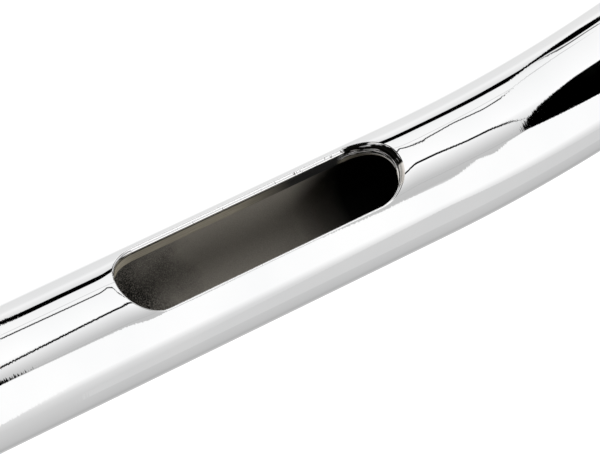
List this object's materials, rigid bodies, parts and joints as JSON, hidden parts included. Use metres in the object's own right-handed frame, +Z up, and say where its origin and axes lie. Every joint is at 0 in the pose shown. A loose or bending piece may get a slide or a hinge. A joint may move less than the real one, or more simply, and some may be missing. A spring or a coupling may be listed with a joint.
{
  "type": "t-bar handlebar",
  "caption": "Motorcycle T-bar handlebar: bent chromed tube welded across two threaded risers, with wiring slots.",
  "frame": {"origin": "midway between the two riser feet, on the plane of their bottom faces", "axes": "+X across the bar to the right arm, +Y forward, +Z up along the risers"},
  "size_m": [0.7734, 0.16, 0.2159],
  "materials": {
    "chrome_plate": "polished chrome plating over steel tube, bare dark steel inside the bore"
  },
  "bodies": {
    "root": {"crossbar": "chrome_plate", "left_riser": "chrome_plate", "left_riser_insert": "chrome_plate", "right_riser": "chrome_plate", "right_riser_insert": "chrome_plate"}
  },
  "joints": []
}
